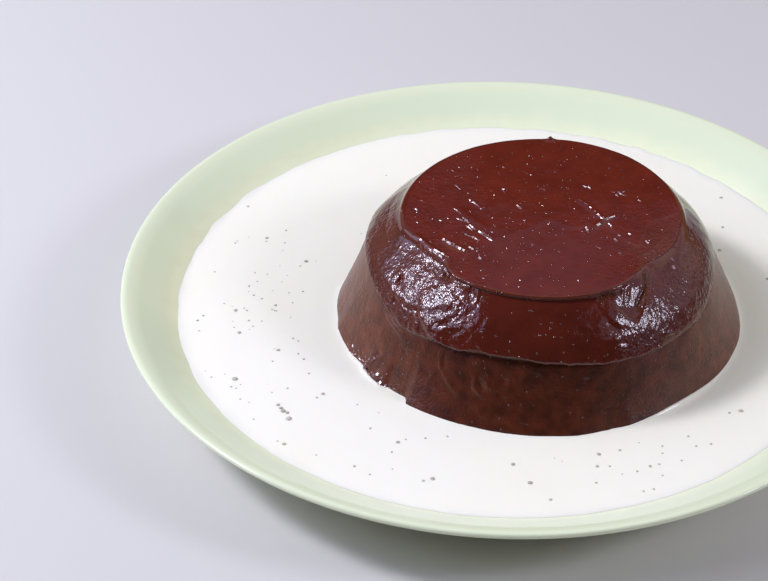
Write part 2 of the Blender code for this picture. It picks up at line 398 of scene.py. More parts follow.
bmesh.ops.remove_doubles(skin_mesh, verts=skin_mesh.verts, dist=0.02 * MM)
hole = [edge for edge in skin_mesh.edges if edge.is_boundary]
bmesh.ops.holes_fill(skin_mesh, edges=hole, sides=0)
skin_mesh.verts.ensure_lookup_table()
row = np.array([vert[row_of] for vert in skin_mesh.verts])
turned = np.array([vert.co for vert in skin_mesh.verts])
angle = np.degrees(np.arctan2(turned[:, 1], turned[:, 0])) % 360
on_disc = row < 0
print("points on the disc:", int(on_disc.sum()), "and on the side:", int((~on_disc).sum()),
      "open edges:", sum(edge.is_boundary for edge in skin_mesh.edges))

# %% [markdown]
# ## Out of round
#
# No two sides of it are alike, so most of its shape is a function of the angle round it. Four helpers say
# where something happens: a soft step, a bump at one angle, a window between two, and a table that is read
# between its entries. Noise adds the unevenness that nobody could list.

# %% Places round the marquise
def soft_step(at):
    """0 well below 0 and 1 well above it, half way up at 0."""
    return 1 / (1 + np.exp(-np.clip(at, -60, 60)))


def bump(degrees, centre, width):
    """1 at the centre angle and nearly 0 two widths away."""
    away = (degrees - centre + 180) % 360 - 180
    return np.exp(-((away / width) ** 2))


def window(degrees, start, end, soft):
    """1 between two angles going counterclockwise and 0 outside, with soft ends."""
    half = (end - start) % 360 / 2
    away = np.abs((degrees - start - half + 180) % 360 - 180)
    return soft_step((half - away) / soft)


def table(at, *points):
    """Interpolates (place, value) pairs, for a place down the side or an angle round it."""
    return np.interp(at, *zip(*points))


def noise_at(px, py, pz, size, seed):
    """Smooth noise from -1 to 1 at each point, with hills about size mm across."""
    scale = 1 / (size * MM)
    return np.array([noise.noise(Vector((a * scale + seed, b * scale, c * scale)))
                     for a, b, c in zip(px.tolist(), py.tolist(), pz.tolist())])


print("half a bump's width away it is", round(float(bump(10, 0, 20)), 2), "high")

# %% [markdown]
# ## Outlines, angle by angle
#
# The disc's rim is bitten in at the left, and at the right, where a scraped facet drops to the dome. The lip's
# edge wanders up and down, and the underside below it wanders on its own. The foot's waterline is chipped at
# the left, where the first custard caught it. Each is a short table of angles in degrees, counterclockwise
# from the right, and millimetres: the bite and the waterline are radii, and the other two are heights.

# %% Outlines
DISC_BITE = [(0, 0), (30, 0.2), (48, 0.9), (75, 0.9), (95, 0.2), (120, 0), (190, 0), (196, -1.4), (201, -3.0),
             (207, -3.4), (213, -4.0), (219, -4.2), (221.5, -3.7), (225, -1.4), (229, 0), (286, 0), (290, -0.5),
             (296, -0.4), (300, -0.9), (305.4, -1.9), (310.8, -3.0), (315, -3.8), (319, -4.3), (323, -3.6),
             (328, -2.2), (336, -0.9), (346, 0), (360, 0)]
LIP_EDGE = [(0, 24.5), (90, 23.5), (150, 24.5), (177, 26.0), (193, 25.0), (200, 23.6), (206, 23.4), (209, 22.2),
            (213, 21.2), (218, 20.4), (222, 20.6), (227, 21.4), (233, 21.9), (241, 21.7), (245, 22.6), (248, 23.1),
            (251, 22.6), (255, 22.9), (261, 23.0), (266, 22.2), (272, 21.8), (278, 21.2), (285, 20.5), (300, 20.2),
            (325, 20.5), (331, 21.0), (336, 23.0), (348, 24.3), (360, 24.5)]
UNDER_EDGE = [(0, 24.0), (90, 22.5), (150, 24.0), (177, 25.6), (185, 25.3), (193, 24.2), (198, 22.8), (206, 22.4),
              (209, 21.0), (213, 19.9), (218, 18.8), (226, 18.7), (231, 19.0), (236, 19.4), (250, 20.0),
              (262, 20.0), (272, 19.3), (285, 19.2), (300, 19.2), (325, 19.7), (331, 20.3), (336, 22.4),
              (348, 23.8), (360, 24.0)]
FOOT_OUTLINE = [(0, 70.6), (20, 70.8), (90, 71.3), (140, 69.2), (152, 67.2), (163, 67.3), (167, 69.0), (171, 70.8),
                (180, 71.2), (186, 71.1), (191, 71.9), (199, 71.8), (204, 71.8), (208.5, 71.4), (210.5, 71.7),
                (211.5, 72.5), (215.6, 72.6), (219.5, 72.4), (221, 71.0), (227.5, 70.5), (228.6, 71.5),
                (229.4, 72.9), (234, 72.7), (240, 72.3), (250, 72.1), (262, 72.4), (270, 72.2), (277, 72.5),
                (284, 71.7), (287, 71.5), (291.4, 72.1), (298, 71.5), (305, 71.0), (313, 70.8), (323, 71.0),
                (334, 71.2), (343, 71.3), (350, 71.2), (360, 70.6)]
print("entries in the outlines:", len(DISC_BITE) + len(LIP_EDGE) + len(UNDER_EDGE) + len(FOOT_OUTLINE))

# %% [markdown]
# ## Mixing the uneven shape
#
# The disc's step is sharp along the front and gone behind, and the lip hangs out at the front and a little at
# the left, so the share of the stepped profile changes with the angle. The tables then lift, bite and chip the
# rows, each fading out a few rows away. Noise tears the lip's edge finely. At the right the disc's rim melts
# into the dome: it sinks and draws in there, and takes the disc's outermost part down with it.

# %% Uneven shape
INWARD_PER_LIFT = 0.25  # a row that is lifted also moves in, up the dome's slope
LIP_HEIGHT, UNDER_HEIGHT, FOOT_RADIUS_AT_WATER = 20.8, 18.1, 71.4  # the profiles' own, in mm
NARROWER = 1.7  # mm that the right side draws in
MELT_DOWN, MELT_IN = 1.5 * MM, 1.3 * MM

side = np.clip(row, 0, LAST_ROW)
to_lip = table(side, (5, 0), (10, 1))
step_share = window(angle, 221, 300, 3.0)
hang_share = 0.15 + 0.85 * window(angle, 232, 284, 4.0) + 0.6 * window(angle, 158, 196, 4.0)
share = step_share * (1 - to_lip) + hang_share * to_lip
stepped_r, stepped_z = along(STEPPED, side)
smooth_r, smooth_z = along(SMOOTH, side)
lip_part = table(side, (7, 0), (8, 0.22), (9, 0.46), (10, 0.68), (11, 0.86), (12, 0.95), (13, 1), (14, 0.8),
                 (15, 0.5), (16, 0))
under_part = table(side, (13, 0), (14, 0.2), (15, 0.5), (16, 1), (17, 0.8), (18, 0.56), (19, 0.33), (20, 0.12),
                   (21, 0))
lift = ((table(angle, *LIP_EDGE) - LIP_HEIGHT) * lip_part + (table(angle, *UNDER_EDGE) - UNDER_HEIGHT) * under_part)
lip_x, lip_y = 60 * MM * np.cos(np.radians(angle)), 60 * MM * np.sin(np.radians(angle))
torn_edge = 0.45 * noise_at(lip_x, lip_y, 0 * angle, 2.6, 17.3) + 0.3 * noise_at(lip_x, lip_y, 0 * angle, 7, 29.1)
lift += torn_edge * table(side, (10, 0), (12, 0.7), (13, 1), (14, 0.8), (16, 0))
bite = table(angle, *DISC_BITE) * table(side, (0, 1), (4, 1), (5, 0.9), (7, 0.35), (9, 0))
chip = (table(angle, *FOOT_OUTLINE) - FOOT_RADIUS_AT_WATER) * table(side, (17, 0), (19, 0.35), (20.4, 0.75), (21, 1))
narrow = -NARROWER * bump(angle, 5, 45) * table(side, (7, 0), (9, 0.4), (12, 1), (16, 1), (19, 0.2), (20, 0))
radius = share * stepped_r + (1 - share) * smooth_r + (bite + chip + narrow - INWARD_PER_LIFT * lift) * MM
height = share * stepped_z + (1 - share) * smooth_z + lift * MM
disc_fraction = np.hypot(turned[:, 0], turned[:, 1]) / rim_radius
radius = np.where(on_disc, radius * disc_fraction, radius)
melt = window(angle, 316, 352, 4)  # where the disc's rim melts into the dome
radius -= melt * MELT_IN * np.where(on_disc, 0.0, table(side, (0, 1), (2, 0.8), (5, 0)))
height -= melt * MELT_DOWN * np.where(on_disc, table(disc_fraction, (0.7, 0), (0.8, 0.1), (0.9, 0.4), (1, 1)),
                                      table(side, (0, 1), (2, 0.9), (4, 0.5), (6, 0.2), (9, 0)))
x, y = radius * np.cos(np.radians(angle)), radius * np.sin(np.radians(angle))
print("widest:", round(radius.max() / MM, 1), "mm, tallest:", round(height.max() / MM, 1), "mm above the custard")

# %% [markdown]
# ## The scraped facet
#
# At the front right the knife scraped the dome's shoulder flat. The facet is a plane: every point above it
# sinks onto it, along the way the plane faces. Its left edge is soft, its right edge is the crease where the
# knife stopped, and both are an angle at each height. It dies away low on the dome and at the disc's rim.

# %% Scraped facet
# (height in mm above the custard, angle in degrees)
FACET_LEFT = [(30.5, 298.5), (33.6, 294.5), (35.7, 294.0), (38.5, 296.5)]
FACET_RIGHT = [(30.0, 301), (31.3, 302), (32.4, 303.4), (34.4, 306.4), (35.7, 309), (37.2, 312.4), (39.3, 319)]
FACET_TURN, FACET_TILT = math.radians(308), math.radians(49)  # the way it faces, and how far from upright
RIM_CUT = 45.8 * MM  # distance from the axis at which the plane meets the disc
facet_x, facet_y = math.cos(FACET_TURN) * math.sin(FACET_TILT), math.sin(FACET_TURN) * math.sin(FACET_TILT)
facet_z = math.cos(FACET_TILT)
above = (x * facet_x + y * facet_y - RIM_CUT * math.sin(FACET_TILT) + (height - rim_height) * facet_z)
facet_from, facet_to = table(height / MM, *FACET_LEFT), table(height / MM, *FACET_RIGHT)
inside = soft_step((angle - facet_from) / 0.3) * soft_step((facet_to - angle) / 0.2)
cut = np.maximum(above, 0) * inside * table(height / MM, (29.5, 0), (33.5, 1)) * table(side, (0, 0), (3, 0.5), (6, 1))
cut *= ~on_disc
x, y, height = x - cut * facet_x, y - cut * facet_y, height - cut * facet_z
print("the facet cuts", round(cut.max() / MM, 1), "mm into the dome")

# %% [markdown]
# ## The knife's marks
#
# The cook drew a palette knife over the top. Its last two passes met in a low crest that wanders across the
# middle: in front of it the disc leans a little to the front and shines, and behind it the disc is level and
# stays dark. On the dome the knife pressed ledges and grooves. A ridge is a path with a width and a height that
# thins out at both ends, and a groove is the same downwards. A ledge has its high side on the left of its path,
# ends in a sharp drop, and dies away on the other side.

# %% Marks of the knife
def beside_path(px, py, path):
    """For each point its distance from the path, negative on the right, and how far along it is, from 0 to 1."""
    total = sum(math.dist(a, b) for a, b in zip(path, path[1:]))
    nearest, signed, done = np.full_like(px, np.inf), np.zeros_like(px), np.zeros_like(px)
    run = 0.0
    for (ax, ay), (bx, by) in zip(path, path[1:]):
        length = math.dist((ax, ay), (bx, by))
        ux, uy = (bx - ax) / length, (by - ay) / length
        s = np.clip((px - ax) * ux + (py - ay) * uy, 0, length)
        off_x, off_y = px - ax - s * ux, py - ay - s * uy
        away = np.hypot(off_x, off_y)
        closer = away < nearest
        nearest = np.where(closer, away, nearest)
        side_sign = np.where(off_y * ux - off_x * uy >= 0, 1.0, -1.0)
        signed = np.where(closer, away * side_sign, signed)
        done = np.where(closer, (run + s) / total, done)
        run += length
    return signed, done


def ridge(px, py, path, width, tall):
    """Height of a rounded ridge, or of a groove where tall is negative."""
    signed, done = beside_path(px, py, path)
    return tall * np.exp(-((signed / width) ** 2)) * np.sin(np.pi * np.clip(done, 0.04, 0.96)) ** 0.5


def ledge(px, py, path, drop, tall, fade):
    """Height of a ledge on the left of the path: a drop this wide at the path, fading away behind it."""
    signed, done = beside_path(px, py, path)
    edge = soft_step(4 * signed / drop)
    return tall * edge * np.exp(-np.maximum(signed, 0) / fade) * np.sin(np.pi * np.clip(done, 0.03, 0.97)) ** 0.4


CREST_X = [-50, -33, -28.5, -18.5, -8, 1.8, 8.4, 21, 26, 31, 36, 50]
CREST_Y = [-50, -38, -27, -18, -12, -5.2, -9.4, -7.1, -16, -20, -6, 2]
LEAN, LEAN_STARTS = 0.012, 0.8  # slope of the disc in front of the crest, and mm over which it sets in
RAISED = 0.35  # mm that the level part stands above the rim
SCARP, SCARP_WIDTH = 0.15, 0.2  # mm of drop at the crest itself, and how softly it falls

# path in mm from the marquise's axis, width and height in mm
DISC_RIDGES = [
    ([(-43.4, -13.6), (-39.9, -19.6), (-37.8, -22.0), (-33.6, -27.0)], 0.9, 0.55),
    ([(-35.2, -16.0), (-31.0, -20.4), (-27.4, -22.6)], 1.2, 0.6),
    ([(16.4, -9.6), (20.6, -4.6), (24.6, -1.6)], 1.0, 0.4),
    ([(12.8, 8.6), (16.6, 3.4), (20.6, -4.6)], 0.9, 0.25),
    ([(-30, 4), (-26, -2), (-20, -9)], 1.6, 0.2),
    ([(4.8, 47.6), (6.6, 48.1)], 0.9, 1.5),
]
disc_x, disc_y = x / MM, y / MM
before = np.interp(disc_x, CREST_X, CREST_Y) - disc_y
leaning = LEAN * np.logaddexp(0, before / LEAN_STARTS) * LEAN_STARTS
top_relief = RAISED - leaning - SCARP * soft_step(before / SCARP_WIDTH)
for path, width, tall in DISC_RIDGES:
    top_relief += ridge(disc_x, disc_y, path, width, tall)
top_share = np.where(on_disc, 1.0, table(side, (0, 1), (2.5, 0.7), (5, 0)))

# on the side a place is an angle and a height, turned into mm round and mm up the slope
ROUND, SLOPE = math.radians(1) * 58, 1.3  # mm for a degree at a radius of 58, and for a mm of height


def side_path(places):
    """The path in mm round and mm up the slope."""
    return [(a * ROUND, h * SLOPE) for a, h in places]


side_u, side_v = angle * ROUND, height / MM * SLOPE
# path as (angle, height), then the width of the drop, the height and the fade, in mm
LEDGES = [
    ([(207.5, 27.6), (211, 26.8), (215.6, 27.1), (219.6, 27.3), (223.8, 28.5), (227.7, 29.9), (231.2, 31.1),
      (235.5, 32.8)], 0.7, 0.75, 3.2),
    ([(221.5, 29.4), (223.4, 27.4), (226.6, 25.2), (229.7, 23.4), (233.3, 22.5), (238, 21.8)], 0.7, 0.8, 3.4),
    ([(288.8, 34.6), (290.1, 32.8), (291.4, 31.0), (294.5, 29.8)], 0.8, 0.5, 2.4),
    ([(292, 30.6), (293, 28.4), (294.6, 26), (297, 24.4)], 0.8, 0.15, 3.0),
    ([(300.4, 31.4), (303.0, 32.8), (306.0, 34.4), (308.6, 35.8), (311.8, 37.3), (317, 38.4)], 0.5, 0.35, 1.6),
    ([(243.2, 27.8), (244.2, 29.2), (245.6, 31.3)], 0.7, 0.35, 1.6),
    ([(239.8, 32.4), (241.6, 34.0), (242.2, 35.6), (241.6, 37.2)], 0.7, 0.35, 1.8),
    ([(236.4, 26.4), (238.0, 27.6), (240.0, 28.3)], 0.7, 0.4, 1.4),
]
# path as (angle, height), then width and height in mm
SIDE_RIDGES = [
    ([(226.3, 26.9), (228.3, 25.8), (230.8, 25.4), (234.2, 25.6)], 1.3, 0.45),
    ([(229.4, 27.4), (232.6, 28.6), (235.4, 30.6)], 1.1, 0.35),
    ([(224.2, 29.6), (228.6, 30.6), (233, 32.2)], 1.2, -0.35),
    ([(239.2, 25.2), (241.4, 27.6)], 0.9, 0.35),
    ([(233.4, 36.0), (237.2, 37.0)], 0.7, 0.3),
    ([(311.9, 36.9), (309.6, 36.0), (307.2, 35.1)], 0.7, 0.35),
    ([(303.6, 37.6), (301.4, 35.8), (299.6, 33.8)], 0.5, 0.35),
    ([(300.6, 38.0), (298.6, 36.0), (297.4, 34.0)], 0.45, 0.3),
    ([(319.4, 38.6), (313.0, 37.3), (309.6, 35.8), (307.0, 34.4), (304.0, 32.8), (302, 31.2)], 0.5, -0.9),
    ([(293.6, 33.2), (296, 32.6), (299, 32.6)], 0.9, 0.35),
    ([(305.6, 33.0), (307.2, 32.6)], 1.4, 0.35),
    ([(289.6, 27.2), (292.4, 27.2)], 0.9, 0.4),
    ([(290.3, 25.4), (294.2, 23.8)], 0.8, 0.35),
    ([(308.2, 24.2), (310.2, 22.8)], 0.7, 0.4),
    ([(310.6, 23.2), (311.9, 22.8)], 0.6, 0.4),
    ([(304.6, 20.8), (306.9, 20.8)], 0.8, 0.3),
    # scrapes down the foot
    ([(209.8, 24.6), (209.8, 21.4), (212.9, 19.6), (219.1, 17.8), (222.5, 16.4)], 0.8, 0.25),
    ([(234.8, 18.6), (236.0, 14.7), (238.7, 12.0), (240.5, 10.2), (243.4, 8.4)], 0.8, 0.4),
    ([(235.8, 17.0), (237.4, 13.6), (239.6, 11.6)], 0.8, -0.3),
    ([(247.4, 14.5), (247.6, 11.6), (249.3, 10.2), (251.2, 9.4)], 0.8, 0.5),
    ([(248.8, 14.4), (249.2, 12.4), (250.2, 10.9)], 0.9, -0.5),
    ([(251.4, 14.2), (251.6, 11.8)], 0.6, 0.3),
]
# angle, height, radius and depth in mm; a negative depth is a pimple
PITS = [
    (208.3, 30.5, 0.8, 1.3), (223.6, 37.1, 0.8, 0.8), (223.4, 34.3, 0.8, 0.5), (212.4, 25.6, 0.9, 0.5),
    (226.6, 38.0, 1.5, 0.8), (256.5, 14.9, 0.7, 0.6), (280.5, 15.6, 0.9, 0.4), (256.6, 9.4, 0.7, 0.5),
    (250.9, 16.4, 0.5, -0.4), (214.2, 7.9, 0.8, 0.5), (216.4, 4.6, 0.8, 0.5), (207.2, 3.2, 0.7, 0.5),
    (222.7, 13.8, 0.6, 0.4), (211.8, 1.4, 1.1, 0.8), (219.0, 1.2, 0.9, 0.6), (205.4, 2.0, 0.8, 0.5),
    (254.3, 28.4, 0.5, -0.3), (247.1, 25.4, 0.6, -0.4), (266, 17.2, 0.7, 0.4), (262, 3.2, 0.6, 0.4),
]
side_relief = np.zeros_like(side_u)
for places, drop, tall, fade in LEDGES:
    side_relief += ledge(side_u, side_v, side_path(places), drop, tall, fade)
for places, width, tall in SIDE_RIDGES:
    side_relief += ridge(side_u, side_v, side_path(places), width, tall)
for a, h, size, depth in PITS:
    away = np.hypot(side_u - a * ROUND, side_v - h * SLOPE)
    side_relief -= depth * np.exp(-((away / size) ** 2))
side_relief *= np.where(on_disc, 0.0, table(side, (2, 0), (4, 1), (21.5, 1), (22, 0)))
print("knife marks:", len(DISC_RIDGES) + len(LEDGES) + len(SIDE_RIDGES), "pits and pimples:", len(PITS))

# %% [markdown]
# ## Waves and streaks
#
# Set chocolate that was pressed from a mould is never smooth. Slow waves run over all of it, the domed tier has
# finer ones that are tallest at its left, and the foot is faintly combed with upright streaks where the mould
# slid off. Noise gives each of them, read at the point's own place and stretched along the streaks.

# %% Surface waves
FOOT_MIDDLE = 66 * MM  # radius of the foot half way up, which sets how wide the streaks are
turn = np.radians(angle)
on_dome = np.where(on_disc, 0, table(side, (4, 0), (6, 1), (12, 1), (14, 0)))
patch = window(angle, 200, 243, 3)  # the left of the dome, where the lining's air bubbles left the most pebbling
on_dome = np.maximum(on_dome, patch * np.where(on_disc, 0, table(side, (0, 0.3), (2, 0.8), (6, 1), (12, 1), (14, 0))))
right_patch = window(angle, 293, 350, 5)  # the right of the dome has a weaker one
on_foot = np.where(on_disc, 0, table(side, (15, 0), (17, 1), (21, 1), (22, 0)))
slow = noise_at(x, y, height, 14, 3.1)
middling = noise_at(x, y, height, 5, 11.7)
fine = noise_at(x, y, height, 2.2, 23.3)
streaks = noise_at(turn * FOOT_MIDDLE, height * 0.12, height * 0, 1.6, 41.9)
# how tall each is, in mm: a part for the whole skin, one for the dome and one for the foot
slow_tall = 0.08 + 0.16 * on_dome + 0.08 * on_foot
middling_tall = 0.02 + (0.12 + 0.2 * patch) * on_dome + 0.04 * on_foot
fine_tall = 0.012 + (0.02 + 0.17 * patch + 0.06 * right_patch) * on_dome + 0.04 * on_foot
waves = slow * slow_tall + middling * middling_tall + fine * fine_tall + streaks * 0.02 * on_foot
relief = (waves + side_relief) * MM
print("relief from", round(relief.min() / MM, 2), "to", round(relief.max() / MM, 2), "mm")

# %% [markdown]
# ## Putting the skin in place
#
# The even shape goes into the mesh first, so that Blender can work out the direction each point faces. The
# relief then moves every point along that direction. The marks on the disc go straight up, as it is level.
# Two values stay with each point for the materials: how pebbled it is, and how much of the dome's painted shade it
# takes.
# A face is matte when it lies wholly below the lip's edge.

# %% Place the skin
def set_points(bm, px, py, pz):
    """Moves the mesh's points to these places, in order."""
    for vert, at in zip(bm.verts, zip(px.tolist(), py.tolist(), pz.tolist())):
        vert.co = at


set_points(skin_mesh, x, y, height)
bmesh.ops.recalc_face_normals(skin_mesh, faces=skin_mesh.faces)
skin_mesh.normal_update()
facing = np.array([vert.normal for vert in skin_mesh.verts])
under = np.where(row > WATER_ROW + 1.5, 0.0, 1.0)
moved = np.stack([x, y, height], axis=1) + facing * (relief * under)[:, None]
moved[:, 2] += top_share * top_relief * MM
moved += np.array(PLACE)
set_points(skin_mesh, *moved.T)
pebble_of = skin_mesh.verts.layers.float.new("pebble")
grained = np.clip((disc_x - 12) / 20, 0, 1) * np.clip((10 - disc_y) / 15, 0, 1) + np.clip((-18 - disc_x) / 10, 0, 1)
pebbling = on_dome * (0.15 + 0.85 * patch + 0.65 * right_patch + 0.5 * window(angle, 160, 200, 5))
melted = melt * table(disc_fraction, (0.72, 0), (1, 1))
pebbling = np.where(on_disc, 0.05 + 0.4 * grained + 0.35 * melted, pebbling)
# painted shade: the dome, and in part the melted right rim of the disc, take a darker brown for the shade the dome's
# front lies in
dome_shade_of = skin_mesh.verts.layers.float.new("dome")
dome_shade_share = np.where(on_disc, 0.4 * melted, table(side, (0, 0.4), (5, 1)))
for vert, pebbled, painted_shade in zip(skin_mesh.verts, pebbling.tolist(), dome_shade_share.tolist()):
    vert[pebble_of] = pebbled
    vert[dome_shade_of] = painted_shade
matte_faces = [max(vert[row_of] for vert in face.verts) > LIP_ROW + 0.9 for face in skin_mesh.faces]
print("lowest point", round(moved[:, 2].min() / MM, 2), "mm, highest", round(moved[:, 2].max() / MM, 2), "mm")

# %% [markdown]
# ## Set chocolate, glossy
#
# The marquise is dark chocolate, butter and egg set cold. Where the knife and the mould's lining went over it,
# the fat came to the surface and shines. The shine of the domed tier is broken by pebbling a millimetre across,
# where air was trapped under the lining, and the whole skin has pimples just under a millimetre wide. Two
# bumps make them: noise for the pebbling, and the round cells of a Voronoi pattern, a few of them at random,
# for the pimples. The pimples are a helper, because the foot has crumbs that are made the same way.

# %% Round grains
def round_grains(tree, place, spacing, reach, left_out, tall, under):
    """A bump of round grains over another bump. reach is in spacings, left_out the share of grains left out."""
    cells = add_node(tree, "TexVoronoi", Vector=place, Scale=1 / spacing)
    chosen = add_node(tree, "Math", {"operation": "GREATER_THAN"}, in_0=cells.outputs["Color"], in_1=left_out)
    dome = add_node(tree, "MapRange", SMOOTH_STEP, Value=cells, From_Min=0.0, From_Max=reach,
                    To_Min=1.0, To_Max=0.0)
    raised = add_node(tree, "Math", {"operation": "MULTIPLY"}, in_0=dome, in_1=chosen)
    return add_node(tree, "Bump", Strength=0.9, Distance=tall, Height=raised, Normal=under)


PIMPLE_SPACING, PIMPLE_REACH = 1.7 * MM, 0.27
print("a pimple is", round(2 * PIMPLE_REACH * PIMPLE_SPACING / MM, 2), "mm wide")

# %% Glossy chocolate
glossy, tree, shader = new_material("set_dark_chocolate_glossy")
place = add_node(tree, "TexCoord").outputs["Object"]
pebble_at = add_node(tree, "Attribute", {"attribute_name": "pebble"})
cloud = add_node(tree, "TexNoise", Vector=place, Scale=1 / (9 * MM), Detail=6.0, Roughness=0.6)
spread = add_node(tree, "MapRange", Value=cloud, From_Min=0.3, From_Max=0.7)
base_brown = add_node(tree, "Mix", COLOURS, Factor=spread, in_6=linear("#6B2617"), in_7=linear("#5A1E11"))
# painted shade: a darker brown for the dome, standing in for the little light that reaches its front
dense = add_node(tree, "Mix", COLOURS, Factor=spread, in_6=linear("#5A2116"), in_7=linear("#491A11"))
dome_shade_at = add_node(tree, "Attribute", {"attribute_name": "dome"})
brown = add_node(tree, "Mix", COLOURS, Factor=dome_shade_at.outputs["Fac"], in_6=base_brown, in_7=dense)
dulled = add_node(tree, "MapRange", Value=cloud, From_Min=0.3, From_Max=0.7, To_Min=0.07, To_Max=0.11)
pebbles = add_node(tree, "TexNoise", Vector=place, Scale=1 / (1.4 * MM), Detail=2.0, Roughness=0.5)
deep = add_node(tree, "Math", {"operation": "MULTIPLY_ADD"}, in_0=pebble_at.outputs["Fac"], in_1=0.95, in_2=0.02)
pebbled = add_node(tree, "Bump", Strength=deep, Distance=0.45 * MM, Height=pebbles)
pimpled = round_grains(tree, place, PIMPLE_SPACING, PIMPLE_REACH, 0.6, 0.34 * MM, pebbled)
fill(tree, shader, Base_Color=brown, Roughness=dulled, Normal=pimpled, IOR=1.5)
marquise = finish_piece(skin_mesh, "marquise_skin", glossy, "marquise")

# %% [markdown]
# ## Set chocolate, matte
#
# The foot dragged along the mould as it slid out, so it is torn very finely and carries crumbs: no shine from
# the front, and a dusty bloom where the eye grazes it. Its bumps break up the mirror, and a little sheen gives
# the bloom. The front, under the lip, is painted darker, as painted shade, and the sides lighter, as painted
# light from the lamps at the sides. The drag left upright streaks. They follow the foot round without a seam,
# because the pattern reads the direction from the axis instead of the angle, and the same direction tells the
# front from the sides.

# %% Matte chocolate
matte, tree, shader = new_material("set_dark_chocolate_matte")
place = add_node(tree, "TexCoord").outputs["Object"]
centred = add_node(tree, "VectorMath", {"operation": "SUBTRACT"}, in_0=place, in_1=tuple(PLACE))
level_part = add_node(tree, "VectorMath", {"operation": "MULTIPLY"}, in_0=centred, in_1=(1.0, 1.0, 0.0))
direction = add_node(tree, "VectorMath", {"operation": "NORMALIZE"}, in_0=level_part)
round_part = add_node(tree, "VectorMath", {"operation": "MULTIPLY"}, in_0=direction,
                      in_1=(FOOT_MIDDLE, FOOT_MIDDLE, 0.0))
up_part = add_node(tree, "VectorMath", {"operation": "MULTIPLY"}, in_0=centred, in_1=(0.0, 0.0, 0.13))
combed = add_node(tree, "VectorMath", {"operation": "ADD"}, in_0=round_part, in_1=up_part)
streak = add_node(tree, "TexNoise", Vector=combed, Scale=1 / (1.5 * MM), Detail=3.0)
cloud = add_node(tree, "TexNoise", Vector=place, Scale=1 / (5 * MM), Detail=5.0)
both = add_node(tree, "Math", {"operation": "MULTIPLY_ADD"}, in_0=streak, in_1=0.1, in_2=cloud)
spread = add_node(tree, "MapRange", Value=both, From_Min=0.36, From_Max=0.74)
# painted shade at the front and painted light at the sides: the front brown is darker and the side brown lighter
front_shade_brown = add_node(tree, "Mix", COLOURS, Factor=spread, in_6=linear("#572615"), in_7=linear("#38150B"))
side_light_brown = add_node(tree, "Mix", COLOURS, Factor=spread, in_6=linear("#6C3624"), in_7=linear("#4C2113"))
parts = add_node(tree, "SeparateXYZ", in_0=direction)
side_light_share = add_node(tree, "MapRange", SMOOTH_STEP, Value=parts.outputs["Y"], From_Min=-0.98, From_Max=-0.45)
brown = add_node(tree, "Mix", COLOURS, Factor=side_light_share, in_6=front_shade_brown, in_7=side_light_brown)
grain = add_node(tree, "TexNoise", Vector=place, Scale=1 / (0.9 * MM), Detail=3.0)
rough = add_node(tree, "Math", {"operation": "MULTIPLY_ADD"}, in_0=streak, in_1=0.3, in_2=grain)
torn = add_node(tree, "Bump", Strength=0.7, Distance=0.25 * MM, Height=rough)
crumbed = round_grains(tree, place, 1.9 * MM, 0.24, 0.7, 0.45 * MM, torn)
fill(tree, shader, Base_Color=brown, Normal=crumbed, Roughness=0.3, IOR=1.44, Sheen_Weight=0.1, Sheen_Roughness=0.3)
marquise.data.materials.append(matte)
for face, is_matte in zip(marquise.data.polygons, matte_faces):
    face.material_index = int(is_matte)
print("matte faces:", sum(matte_faces))

# %% [markdown]
# ## Burrs that the knife tore up
#
# Where the knife caught on chocolate that had set, it pulled up small flakes, which glint as the lights strike
# them. They are much finer than the skin's mesh, so each is a little body of its own: a bevelled block, turned
# along the knife's stroke and tilted to the front left or the front right, with its lower half sunk in the
# disc. A long stroke is a row of them. Grains too small to place one by one are scattered at random.

